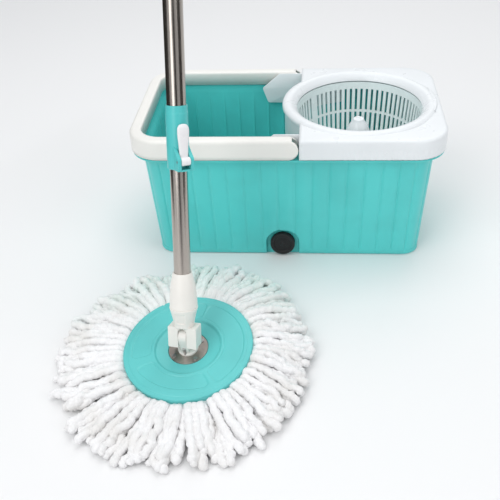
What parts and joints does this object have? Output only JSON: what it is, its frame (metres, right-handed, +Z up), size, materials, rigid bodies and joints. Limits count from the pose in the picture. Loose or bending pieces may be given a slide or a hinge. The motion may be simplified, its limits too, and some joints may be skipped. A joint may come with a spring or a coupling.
{
  "type": "spin mop",
  "caption": "Spin mop set: fluted bucket with a slotted spin basket, splash cover, swing handle and drain plug, and a telescopic push-spin mop with a microfibre strand head.",
  "frame": {"origin": "centre of the bucket's base, on the floor that the bucket and the mop stand on", "axes": "+Z up; +X towards the basket end of the bucket; the mop stands in front of the bucket, towards -Y"},
  "size_m": [0.506, 0.644, 0.9178],
  "materials": {
    "tub_plastic": "moulded, satin gloss",
    "cover_plastic": "moulded, satin gloss",
    "handle_plastic": "moulded, satin",
    "basket_plastic": "moulded, slightly translucent",
    "hub_plastic": "moulded, satin",
    "bush_plastic": "moulded, low friction",
    "plug_rubber": "matt black",
    "plate_plastic": "moulded, satin gloss",
    "stamped_steel": "stamped and brushed",
    "bright_steel": "turned",
    "strand_fabric": "fluffy microfibre yarn",
    "fork_plastic": "moulded, satin",
    "pole_steel": "polished stainless tube",
    "black_plastic": "moulded",
    "nut_brass": "cast",
    "sleeve_plastic": "moulded, satin gloss",
    "grip_plastic": "moulded, fine texture",
    "lever_plastic": "moulded, satin"
  },
  "bodies": {
    "bucket": {"tub": "tub_plastic", "splash_cover": "cover_plastic", "spindle_tower": "tub_plastic", "spindle_pin": "bright_steel"},
    "handle": {"carry_handle": "handle_plastic", "handle_pins": "bright_steel"},
    "basket": {"spin_basket": "basket_plastic", "basket_hub": "hub_plastic", "hub_screws": "bright_steel", "hub_bush": "bush_plastic", "bearing_ball": "bright_steel"},
    "plug": {"drain_plug": "plug_rubber", "drain_seal": "plug_rubber"},
    "mop_head": {"mop_plate": "plate_plastic", "centre_plate": "stamped_steel", "plate_screws": "bright_steel", "swivel_lug": "fork_plastic", "lug_screws": "bright_steel", "refill_ring": "bush_plastic", "mop_strands": "strand_fabric"},
    "lower_pole": {"ferrule": "fork_plastic", "tilt_pin": "bright_steel", "lower_tube": "pole_steel", "nut_holder": "black_plastic", "drive_nut": "nut_brass", "clutch_ring": "bright_steel", "bush_clip": "bright_steel"},
    "pole_guide": {"guide_bush": "bush_plastic"},
    "upper_pole": {"upper_tube": "pole_steel", "lock_sleeve": "sleeve_plastic", "clamp_pad": "black_plastic", "lever_pin": "bright_steel", "twist_rod": "bright_steel", "stroke_stop": "black_plastic", "rod_plug": "black_plastic", "grip": "grip_plastic", "hang_cap": "handle_plastic"},
    "lever": {"lock_lever": "lever_plastic"}
  },
  "joints": [
    {"name": "handle_swing", "type": "hinge", "parent": "bucket", "child": "handle", "pos_m": [0.003, 0, 0.1895], "axis": [0, 1, 0], "range_deg": [0, 90]},
    {"name": "basket_spin", "type": "hinge", "parent": "bucket", "child": "basket", "pos_m": [0.105, 0, 0.1], "axis": [0, 0, 1], "continuous": true},
    {"name": "plug_pull", "type": "slide", "parent": "bucket", "child": "plug", "axis": [0, -1, 0], "range_m": [0, 0.03]},
    {"name": "mop_lift", "type": "slide", "parent": "bucket", "child": "mop_head", "axis": [0, 0, 1], "range_m": [0, 0.3]},
    {"name": "head_tilt", "type": "hinge", "parent": "mop_head", "child": "lower_pole", "pos_m": [-0.119, -0.352, 0.0524], "axis": [0.9794, -0.1975, 0.0419], "range_deg": [-30, 105]},
    {"name": "mop_spin", "type": "hinge", "parent": "lower_pole", "child": "pole_guide", "pos_m": [-0.119, -0.352, 0.0524], "axis": [0.0147, 0.2765, 0.9609], "continuous": true},
    {"name": "pole_slide", "type": "slide", "parent": "pole_guide", "child": "upper_pole", "axis": [0.0147, 0.2765, 0.9609], "range_m": [-0.12, 0.3]},
    {"name": "lever_swing", "type": "hinge", "parent": "upper_pole", "child": "lever", "pos_m": [-0.10543, -0.30511, 0.27181], "axis": [0.8349, 0.5254, -0.1639], "range_deg": [0, 100]}
  ],
  "couplings": [
    {"joint": "mop_spin", "follows": "pole_slide", "rad_per_m": 62.832}
  ]
}
